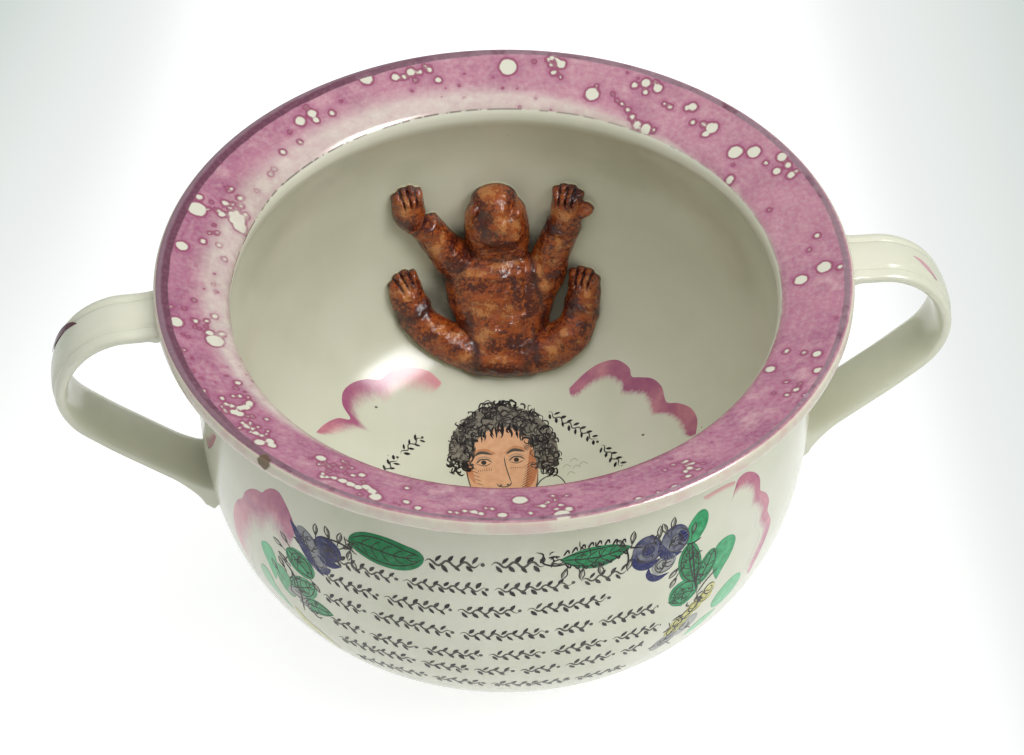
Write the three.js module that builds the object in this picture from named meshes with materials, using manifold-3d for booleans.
// A two-handled earthenware chamber pot with a frog that climbs the inside of its back wall.
// Millimetres, +Z up. The origin is on the ground under the middle of the bowl, the handles lie
// along X, and the frog sits at +Y. Every clay piece that was made by itself is a Mesh of its own,
// and pieces that were luted together with slip keep a thin gap.

import * as THREE from 'three';
import { mergeVertices } from 'three/addons/utils/BufferGeometryUtils.js';
import Module from 'manifold-3d';

const wasm = await Module();
wasm.setup();

// Driving dimensions of the thrown pot
const POT_HEIGHT = 140;
const RIM_DIAMETER = 235;
const RIM_WIDTH = 25.5; // from the lip's outside to the mouth
const RIM_RISE = 8; // the rim climbs this much from the mouth to the crest of the lip
const RIM_THICKNESS = 6.5;
const LIP_ROUNDING = 2.6;
const THROAT_ROUNDING = 5; // where the rim turns down into the bowl
const NECK_FILLET = 5; // where the wall meets the rim from below
const BELLY_INSET = 12.25; // from the lip's outside in to the belly, seen from above
const BELLY_HEIGHT = 94.4;
const BELLY_FULLNESS = 2.88; // exponent of the bowl's curve: 2 is a round bowl, more is squarer
const BOWL_BOTTOM = 1; // lowest height of the bowl's outer curve, if no foot cut it off
const WALL = 5;
const FLOOR_HEIGHT = 8.6; // of the inside of the bowl, at its middle
const FOOT_DIAMETER = 123;
const FOOT_HEIGHT = 7.2;
const FOOT_RING_WIDTH = 5.5;
const FOOT_RECESS = 3.5; // the base is cut up this far inside the ring
const FOOT_ROUNDING = 1.2;
const LATHE_STEPS = 64; // facets round the pot, an even number so that both handles fit alike

// Driving dimensions of the handles
const HANDLE_OUT = 36.8; // the handle stands out this far beyond the lip
const HANDLE_TOP_DROP = 5.2; // from the top of the lip down to the strap's upper face
const STRAP_WIDTH = 22.5;
const STRAP_THICKNESS = 5.8;
const BEAD_RADIUS = 2.3; // of the raised reed along each edge of the strap
const REED_DEPTH = 0.9; // from the crest of a reed down to the strap's middle
const ROOT_FLARE = 4; // the strap's underside swells this much at its lower root
const FLARE_LENGTH = 14; // over which it swells
const ROOT_HEIGHT = 57; // where the lower root's middle meets the belly

// Driving dimensions of the frog, as it lies on the wall. A relief is how far a piece stands off it.
const FROG_TURN = 3.7; // degrees from +Y towards +X
const FROG_DROP = 37.3; // along the wall from the throat down to the crown of the frog's head
const FROG_LENGTH = 80.5; // from the rump to the crown of the head
const TORSO_WIDTH = 36.4;
const TORSO_RELIEF = 14.6;
const HEAD_WIDTH = 24.4;
const HEAD_RELIEF = 14.4;
const ARM_WIDTH = 14;
const ARM_RELIEF = 9.6;
const LEG_WIDTH = 14;
const LEG_RELIEF = 10;
const PAW_WIDTH = 12.4;
const PAW_RELIEF = 7.6;
const DIGIT_LENGTH = 4.8;
const DIGITS = 4; // on each hand and foot
const LUTE_GAP = 0.3; // the slip joint between two clay pieces

const mouthRadius = RIM_DIAMETER / 2 - RIM_WIDTH;
const mouthHeight = POT_HEIGHT - RIM_RISE;
const crestRadius = RIM_DIAMETER / 2 - LIP_ROUNDING;
const rimSlope = RIM_RISE / (crestRadius - mouthRadius);
const bellyRadius = RIM_DIAMETER / 2 - BELLY_INSET;
const neckRadius = mouthRadius + WALL;
const neckHeight = rimTopAt(neckRadius) - RIM_THICKNESS;
const neckBend = (bellyRadius - neckRadius) / (neckHeight - BELLY_HEIGHT) ** 2;

const creamGlaze = new THREE.MeshStandardMaterial({ color: '#d9dbcd', roughness: 0.18, metalness: 0 });
const brownGlaze = new THREE.MeshStandardMaterial({ color: '#7a3f1c', roughness: 0.2, metalness: 0 });

// Height of the rim's upper face at a radius.
function rimTopAt(radius) {
  return POT_HEIGHT - (crestRadius - radius) * rimSlope;
}

// Radius of the bowl at a height: a superellipse below the belly and a parabola above it.
function bowlRadius(height, belly, bottom) {
  if (height > BELLY_HEIGHT) return belly - neckBend * (height - BELLY_HEIGHT) ** 2;
  const drop = Math.min((BELLY_HEIGHT - height) / (BELLY_HEIGHT - bottom), 1);
  return belly * (1 - drop ** BELLY_FULLNESS) ** (1 / BELLY_FULLNESS);
}

// Points of the bowl's lower curve, from the radius of its end up to the belly.
function lowerBowl(belly, bottom, endRadius, steps) {
  const power = 2 / BELLY_FULLNESS;
  const endAngle = Math.acos((endRadius / belly) ** (1 / power));
  return Array.from({ length: steps + 1 }, (_, i) => {
    const angle = endAngle * (1 - i / steps);
    const radius = belly * Math.cos(angle) ** power;
    return new THREE.Vector2(radius, BELLY_HEIGHT - (BELLY_HEIGHT - bottom) * Math.sin(angle) ** power);
  });
}

// Points of the bowl's upper curve, from just above the belly to a height.
function upperBowl(belly, top, steps) {
  return Array.from({ length: steps }, (_, i) => {
    const height = BELLY_HEIGHT + ((top - BELLY_HEIGHT) * (i + 1)) / steps;
    return new THREE.Vector2(bowlRadius(height, belly, 0), height);
  });
}

// A rounded corner from one point to another, bent towards a third.
function corner(start, bend, end, steps) {
  const points = [start, bend, end].map(([x, y]) => new THREE.Vector2(x, y));
  return new THREE.QuadraticBezierCurve(...points).getPoints(steps);
}

// The outside of the pot, from the foot's inner edge round to the top of the lip.
function outsideProfile() {
  const foot = FOOT_DIAMETER / 2;
  const ringInside = foot - FOOT_RING_WIDTH;
  const lip = RIM_DIAMETER / 2;
  const lipFoot = POT_HEIGHT - RIM_THICKNESS;
  const under = (radius) => rimTopAt(radius) - RIM_THICKNESS;
  const footJoin = foot + FOOT_ROUNDING;
  const bowl = lowerBowl(bellyRadius, BOWL_BOTTOM, footJoin, 12);
  return [
    ...corner([ringInside - FOOT_ROUNDING, FOOT_RECESS], [ringInside, FOOT_RECESS],
      [ringInside, FOOT_RECESS - FOOT_ROUNDING], 1),
    new THREE.Vector2(ringInside, FOOT_ROUNDING),
    new THREE.Vector2(ringInside + FOOT_ROUNDING, 0),
    new THREE.Vector2(foot - FOOT_ROUNDING, 0),
    new THREE.Vector2(foot, FOOT_ROUNDING),
    new THREE.Vector2(foot, FOOT_HEIGHT - FOOT_ROUNDING),
    ...bowl,
    ...upperBowl(bellyRadius, neckHeight - NECK_FILLET, 3),
    ...corner([bowlRadius(neckHeight - NECK_FILLET, bellyRadius, 0), neckHeight - NECK_FILLET],
      [neckRadius, neckHeight], [neckRadius + NECK_FILLET, under(neckRadius + NECK_FILLET)], 2).slice(1),
    ...corner([crestRadius, under(crestRadius)], [lip, lipFoot], [lip, lipFoot + LIP_ROUNDING], 2),
    ...corner([lip, POT_HEIGHT - LIP_ROUNDING], [lip, POT_HEIGHT], [crestRadius, POT_HEIGHT], 3),
  ];
}

// The inside of the pot, from the rim's upper face down to the middle of the floor.
function insideProfile() {
  const belly = bellyRadius - WALL;
  const throat = mouthHeight - THROAT_ROUNDING;
  const down = [
    ...lowerBowl(belly, FLOOR_HEIGHT, 0, 14),
    ...upperBowl(belly, throat, 3),
    ...corner([bowlRadius(throat, belly, 0), throat], [mouthRadius, mouthHeight],
      [mouthRadius + THROAT_ROUNDING, rimTopAt(mouthRadius + THROAT_ROUNDING)], 3).slice(1),
  ];
  return down.reverse();
}

// A profile of radii and heights turned round the Z axis.
function thrown(profile) {
  return closedGeometry(new THREE.LatheGeometry(profile, LATHE_STEPS).rotateX(Math.PI / 2));
}

function potGeometry() {
  const underside = new THREE.Vector2(0, FOOT_RECESS);
  return thrown([underside, ...outsideProfile(), ...insideProfile()]);
}

// The pot's outside grown by the lute gap and filled in: what a handle's ends are cut with.
function handleCutter() {
  const outside = outsideProfile();
  const grown = outside.map((point, i) => {
    const before = outside[Math.max(i - 1, 0)];
    const after = outside[Math.min(i + 1, outside.length - 1)];
    const along = after.clone().sub(before).normalize();
    return new THREE.Vector2(point.x + along.y * LUTE_GAP, point.y - along.x * LUTE_GAP);
  });
  const first = grown[0];
  const last = grown[grown.length - 1];
  const profile = [new THREE.Vector2(0, first.y), ...grown, new THREE.Vector2(0, last.y)];
  return solid(thrown(profile));
}

// A geometry with its shared vertices merged and its collapsed faces left out.
function closedGeometry(geometry) {
  geometry.deleteAttribute('normal');
  geometry.deleteAttribute('uv');
  const merged = mergeVertices(geometry, 1e-4);
  const faces = [];
  const index = merged.index.array;
  for (let i = 0; i < index.length; i += 3) {
    const [a, b, c] = index.slice(i, i + 3);
    if (a !== b && b !== c && c !== a) faces.push(a, b, c);
  }
  merged.setIndex(faces);
  return merged;
}

function solid(geometry) {
  const vertProperties = new Float32Array(geometry.attributes.position.array);
  const triVerts = new Uint32Array(geometry.index.array);
  return new wasm.Manifold(new wasm.Mesh({ numProp: 3, vertProperties, triVerts }));
}

function geometryOf(body) {
  const { vertProperties, triVerts } = body.getMesh();
  const geometry = new THREE.BufferGeometry();
  geometry.setAttribute('position', new THREE.BufferAttribute(new Float32Array(vertProperties), 3));
  geometry.setIndex(Array.from(triVerts));
  return geometry;
}

// A skin over rings of equal length, closed at each end by a point.
function loft(rings, firstPole, lastPole) {
  const sides = rings[0].length;
  const vertices = [firstPole, ...rings.flat(), lastPole];
  const last = vertices.length - 1;
  const faces = [];
  for (let j = 0; j < sides; j += 1) {
    const next = (j + 1) % sides;
    faces.push(0, 1 + next, 1 + j);
    for (let i = 0; i < rings.length - 1; i += 1) {
      const here = 1 + i * sides;
      const above = here + sides;
      faces.push(here + j, here + next, above + next, here + j, above + next, above + j);
    }
    const top = 1 + (rings.length - 1) * sides;
    faces.push(last, top + j, top + next);
  }
  const geometry = new THREE.BufferGeometry();
  const numbers = vertices.flatMap((vertex) => vertex.toArray());
  geometry.setAttribute('position', new THREE.Float32BufferAttribute(numbers, 3));
  geometry.setIndex(faces);
  return geometry;
}

// The strap's section: x across its width, y out of its reeded face. Half of it is written, and the
// other half is its mirror image.
function strapSection() {
  const half = STRAP_WIDTH / 2;
  const crest = STRAP_THICKNESS / 2;
  const bead = new THREE.EllipseCurve(half - BEAD_RADIUS, crest - BEAD_RADIUS, BEAD_RADIUS, BEAD_RADIUS,
    THREE.MathUtils.degToRad(-10), THREE.MathUtils.degToRad(150), false, 0).getPoints(4);
  const middle = crest - REED_DEPTH;
  const right = [
    new THREE.Vector2(half - BEAD_RADIUS, -crest),
    new THREE.Vector2(half - BEAD_RADIUS * 0.3, -crest + BEAD_RADIUS * 0.45),
    ...bead,
    new THREE.Vector2(half - BEAD_RADIUS * 2.1, middle),
    new THREE.Vector2(half * 0.35, middle + REED_DEPTH * 0.3),
  ];
  const left = right.map((p) => new THREE.Vector2(-p.x, p.y)).reverse();
  return [...right, ...left];
}

// The strap's middle line in the XZ plane: out from the lip, round, and back in to the belly.
function handlePath() {
  const half = STRAP_THICKNESS / 2;
  const top = POT_HEIGHT - HANDLE_TOP_DROP - half;
  const lip = RIM_DIAMETER / 2;
  const reach = lip + HANDLE_OUT - half;
  const root = bowlRadius(ROOT_HEIGHT, bellyRadius, BOWL_BOTTOM);
  const drop = top - ROOT_HEIGHT;
  const out = reach - lip;
  const spine = [
    [lip - RIM_THICKNESS * 1.5, rimTopAt(lip - RIM_THICKNESS * 1.5) - RIM_THICKNESS / 2],
    [lip - RIM_THICKNESS * 0.5, top + 0.6],
    [lip + out * 0.13, top],
    [lip + out * 0.44, top - drop * 0.01],
    [lip + out * 0.72, top - drop * 0.075],
    [lip + out * 0.93, top - drop * 0.2],
    [reach, top - drop * 0.355],
    [reach - out * 0.11, top - drop * 0.5],
    [reach - out * 0.4, top - drop * 0.635],
    [root + (reach - root) * 0.45, top - drop * 0.785],
    [root + (reach - root) * 0.18, top - drop * 0.925],
    [root, ROOT_HEIGHT],
    [root - WALL * 2.4, ROOT_HEIGHT - WALL * 2],
  ];
  const points = spine.map(([x, z]) => new THREE.Vector3(x, 0, z));
  return new THREE.CatmullRomCurve3(points, false, 'centripetal');
}

function handleGeometry(cutter) {
  const stations = 32;
  const root = bowlRadius(ROOT_HEIGHT, bellyRadius, BOWL_BOTTOM);
  const path = handlePath();
  const section = strapSection();
  const rings = [];
  for (let i = 0; i <= stations; i += 1) {
    const t = i / stations;
    const centre = path.getPointAt(t);
    const along = path.getTangentAt(t);
    const outward = new THREE.Vector3(-along.z, 0, along.x);
    const nearRoot = t > 0.5 ? THREE.MathUtils.clamp(1 - (centre.x - root) / FLARE_LENGTH, 0, 1) ** 2 : 0;
    const widen = 1 + (nearRoot * ROOT_FLARE) / STRAP_WIDTH;
    const swell = nearRoot * ROOT_FLARE;
    rings.push(section.map((p) => new THREE.Vector3(0, p.x * widen, 0)
      .addScaledVector(outward, p.y > 0 ? p.y + swell : p.y).add(centre)));
  }
  const strap = solid(loft(rings, path.getPointAt(0), path.getPointAt(1)));
  return geometryOf(strap.subtract(cutter));
}

// The bowl's inner wall as a sheet: its points from the middle of the floor up to the throat, with the
// direction along the wall and how far up the wall each one is.
const wallSheet = (() => {
  const belly = bellyRadius - WALL;
  const throat = mouthHeight - THROAT_ROUNDING;
  const points = [...lowerBowl(belly, FLOOR_HEIGHT, 0, 14), ...upperBowl(belly, throat, 3)];
  let length = 0;
  return points.map((point, i) => {
    const before = points[Math.max(i - 1, 0)];
    const after = points[Math.min(i + 1, points.length - 1)];
    length += point.distanceTo(before);
    return { point, length, along: after.clone().sub(before).normalize() };
  });
})();
const frogStart = wallSheet[wallSheet.length - 1].length - FROG_DROP - FROG_LENGTH;

// A point given across the wall, up the wall and off the wall, set in the bowl beside the frog's line.
// The wall is taken at the middle of the pot's facets, where it comes nearest to the frog.
function onWall(across, up, off) {
  const i = wallSheet.findIndex((row, k) => k > 0 && (row.length > up || k === wallSheet.length - 1));
  const low = wallSheet[i - 1];
  const high = wallSheet[i];
  const share = (up - low.length) / (high.length - low.length);
  const place = low.point.clone().lerp(high.point, share);
  const along = low.along.clone().lerp(high.along, share).normalize();
  const angle = THREE.MathUtils.degToRad(FROG_TURN) + across / place.x;
  const radius = place.x * Math.cos(Math.PI / LATHE_STEPS) - along.y * off;
  const height = place.y + along.x * off;
  return new THREE.Vector3(radius * Math.sin(angle), radius * Math.cos(angle), height);
}

// A roll of clay on the flat wall sheet, of the width and relief given. Each station is
// [across, up, share of the width, share of the relief], with the places in hundredths of the frog's
// length from its rump, and so are the domes that round off both ends.
function roll(width, relief, stations, domes, grow, detail = { sides: 14, spans: 3, domeRings: 3 }) {
  const hundredth = FROG_LENGTH / 100;
  const sunk = 0.25; // the middle of the roll lies this share of its relief above the wall
  const place = ([across, up, , thick]) => new THREE.Vector3(across * hundredth,
    frogStart + up * hundredth, relief * thick * sunk);
  const halfSizes = ([, , wide, thick]) => new THREE.Vector3((width / 2) * wide + grow,
    relief * thick * (1 - sunk) + grow, 0);
  const spine = new THREE.CatmullRomCurve3(stations.map(place));
  const size = new THREE.CatmullRomCurve3(stations.map(halfSizes));
  const alongAt = (t) => spine.getTangent(t).setZ(0).normalize();
  const ring = (t, beyond, shrink) => {
    const along = alongAt(t);
    const side = new THREE.Vector3(-along.y, along.x, 0);
    const half = size.getPoint(t).multiplyScalar(shrink);
    const centre = spine.getPoint(t).addScaledVector(along, beyond);
    return Array.from({ length: detail.sides }, (_, j) => {
      const angle = (2 * Math.PI * j) / detail.sides;
      const point = centre.clone().addScaledVector(side, half.x * Math.cos(angle));
      return point.setZ(centre.z + half.y * Math.sin(angle));
    });
  };
  const [startDome, endDome] = domes.map((length) => length * hundredth + grow);
  const domeAngles = Array.from({ length: detail.domeRings },
    (_, i) => (Math.PI / 2) * ((i + 0.6) / (detail.domeRings + 0.1)));
  const steps = (stations.length - 1) * detail.spans;
  const rings = [
    ...domeAngles.map((angle) => ring(0, -startDome * Math.cos(angle), Math.sin(angle))),
    ...Array.from({ length: steps + 1 }, (_, i) => ring(i / steps, 0, 1)),
    ...domeAngles.reverse().map((angle) => ring(1, endDome * Math.cos(angle), Math.sin(angle))),
  ];
  const pole = (t, beyond) => spine.getPoint(t).addScaledVector(alongAt(t), beyond);
  return solid(loft(rings, pole(0, -startDome), pole(1, endDome)));
}

const torsoRoll = (stations, domes, grow) => roll(TORSO_WIDTH, TORSO_RELIEF, stations, domes, grow,
  { sides: 20, spans: 3, domeRings: 3 });
const headRoll = (stations, domes, grow) => roll(HEAD_WIDTH, HEAD_RELIEF, stations, domes, grow,
  { sides: 18, spans: 3, domeRings: 3 });
const armRoll = (stations, grow) => roll(ARM_WIDTH, ARM_RELIEF, stations, [5, 2.6], grow);
const legRoll = (stations, grow) => roll(LEG_WIDTH, LEG_RELIEF, stations, [5, 2.6], grow);

// A hand or foot: a palm with a fan of fingers or toes joined to its front. The front is the palm's last
// station, and heading is the way that the digits point, in degrees from straight up.
function paw(stations, heading, grow) {
  const turn = THREE.MathUtils.degToRad(heading);
  const fan = THREE.MathUtils.degToRad(16);
  const hundredth = FROG_LENGTH / 100;
  const digitWidth = (PAW_WIDTH / DIGITS) * 1.16;
  const [frontAcross, frontUp] = stations[stations.length - 1];
  let body = roll(PAW_WIDTH, PAW_RELIEF, stations, [3, 2.5], grow);
  for (let i = 0; i < DIGITS; i += 1) {
    const share = DIGITS > 1 ? i / (DIGITS - 1) - 0.5 : 0;
    const knuckle = (share * (PAW_WIDTH - digitWidth)) / hundredth;
    const across = frontAcross + knuckle * Math.cos(turn);
    const up = frontUp - knuckle * Math.sin(turn);
    const reach = (DIGIT_LENGTH / hundredth) * (1 - 0.5 * Math.abs(share));
    const along = [Math.sin(turn + share * fan), Math.cos(turn + share * fan)];
    const digit = [0, 0.5, 1].map((part) => [across + along[0] * reach * part,
      up + along[1] * reach * part, 1 - 0.15 * Math.abs(part - 0.5), 0.62 - 0.12 * part]);
    const detail = { sides: 7, spans: 1, domeRings: 2 };
    body = body.add(roll(digitWidth, PAW_RELIEF, digit, [1.2, 1.6], grow, detail));
  }
  return body;
}

function thumb(stations, grow) {
  const detail = { sides: 8, spans: 1, domeRings: 2 };
  return roll(PAW_WIDTH * 0.42, PAW_RELIEF, stations, [1.2, 2.6], grow, detail);
}

// The frog's pieces on the flat sheet, head up, with left and right as seen from the front of the pot.
const frogForms = {
  frog_torso: (grow) => torsoRoll([[1.2, 9, 0.69, 0.74], [3.7, 20, 0.74, 0.92], [4.5, 33.5, 0.86, 1],
    [3.2, 47, 1, 0.98], [2, 58.5, 0.96, 0.87]], [9, 7.5], grow),
  frog_head: (grow) => headRoll([[2, 69.5, 0.98, 0.9], [1.9, 81, 1, 1], [1.6, 91.3, 0.87, 0.92]],
    [7, 8.7], grow),
  frog_left_arm: (grow) => armRoll([[-16.8, 57, 1.05, 1.02], [-24.2, 71, 0.91, 0.95],
    [-32.7, 84.5, 0.86, 0.9]], grow),
  frog_right_arm: (grow) => armRoll([[24.2, 46, 1.05, 1.06], [28.6, 64, 0.97, 1.02],
    [33.8, 79.5, 0.93, 0.94]], grow),
  frog_left_hind_leg: (grow) => legRoll([[-6.2, 11, 1, 0.95], [-21.7, 20, 1.03, 1],
    [-33.3, 30, 0.91, 0.94], [-40, 41, 0.86, 0.84]], grow),
  frog_right_hind_leg: (grow) => legRoll([[11.2, 11, 1, 0.95], [26.7, 16.8, 1, 1],
    [38.8, 26.7, 0.94, 0.94], [42.5, 38.5, 0.91, 0.84]], grow),
  frog_left_hand: (grow) => paw([[-39.1, 85.7, 0.75, 0.95], [-40.5, 93.2, 0.97, 1],
    [-40.7, 98.8, 1, 0.9]], -1, grow),
  frog_right_hand: (grow) => paw([[35.1, 83, 1, 1], [35.6, 90, 1.03, 1], [35.8, 94.8, 1, 0.9]], 1, grow)
    .add(thumb([[41.8, 88, 0.85, 0.72], [44.8, 91, 1, 0.68]], grow)),
  frog_left_foot: (grow) => paw([[-41, 44.7, 0.94, 0.92], [-43, 51, 1, 0.86]], -16, grow),
  frog_right_foot: (grow) => paw([[43, 42.9, 0.97, 0.92], [43.7, 49.7, 1, 0.86]], 4, grow),
};

// Each piece is trimmed by the pieces that were on the pot before it.
const laidBefore = {
  frog_torso: [],
  frog_head: ['frog_torso'],
  frog_left_arm: ['frog_torso', 'frog_head'],
  frog_right_arm: ['frog_torso', 'frog_head'],
  frog_left_hind_leg: ['frog_torso'],
  frog_right_hind_leg: ['frog_torso'],
  frog_left_hand: ['frog_left_arm'],
  frog_right_hand: ['frog_right_arm'],
  frog_left_foot: ['frog_left_hind_leg'],
  frog_right_foot: ['frog_right_hind_leg', 'frog_right_arm'],
};

function aboveTheWall() {
  const slab = new THREE.BoxGeometry(300, 400, 60);
  slab.translate(0, 150, 30 + LUTE_GAP);
  return solid(closedGeometry(slab));
}

function frogGeometry(name, slab) {
  let form = frogForms[name](0).intersect(slab);
  laidBefore[name].forEach((other) => {
    form = form.subtract(frogForms[other](LUTE_GAP));
  });
  const geometry = geometryOf(form);
  const position = geometry.attributes.position;
  for (let i = 0; i < position.count; i += 1) {
    const { x, y, z } = onWall(position.getX(i), position.getY(i), position.getZ(i));
    position.setXYZ(i, x, y, z);
  }
  return geometry;
}

function addPiece(group, name, geometry, material) {
  geometry.computeVertexNormals();
  const mesh = new THREE.Mesh(geometry, material);
  mesh.name = name;
  group.add(mesh);
  return mesh;
}

const pot = new THREE.Group();
addPiece(pot, 'pot_body', potGeometry(), creamGlaze);

const handle = handleGeometry(handleCutter());
addPiece(pot, 'right_handle', handle, creamGlaze);
addPiece(pot, 'left_handle', handle, creamGlaze).rotation.z = Math.PI;

const slab = aboveTheWall();
Object.keys(laidBefore).forEach((name) => addPiece(pot, name, frogGeometry(name, slab), brownGlaze));

export default pot;
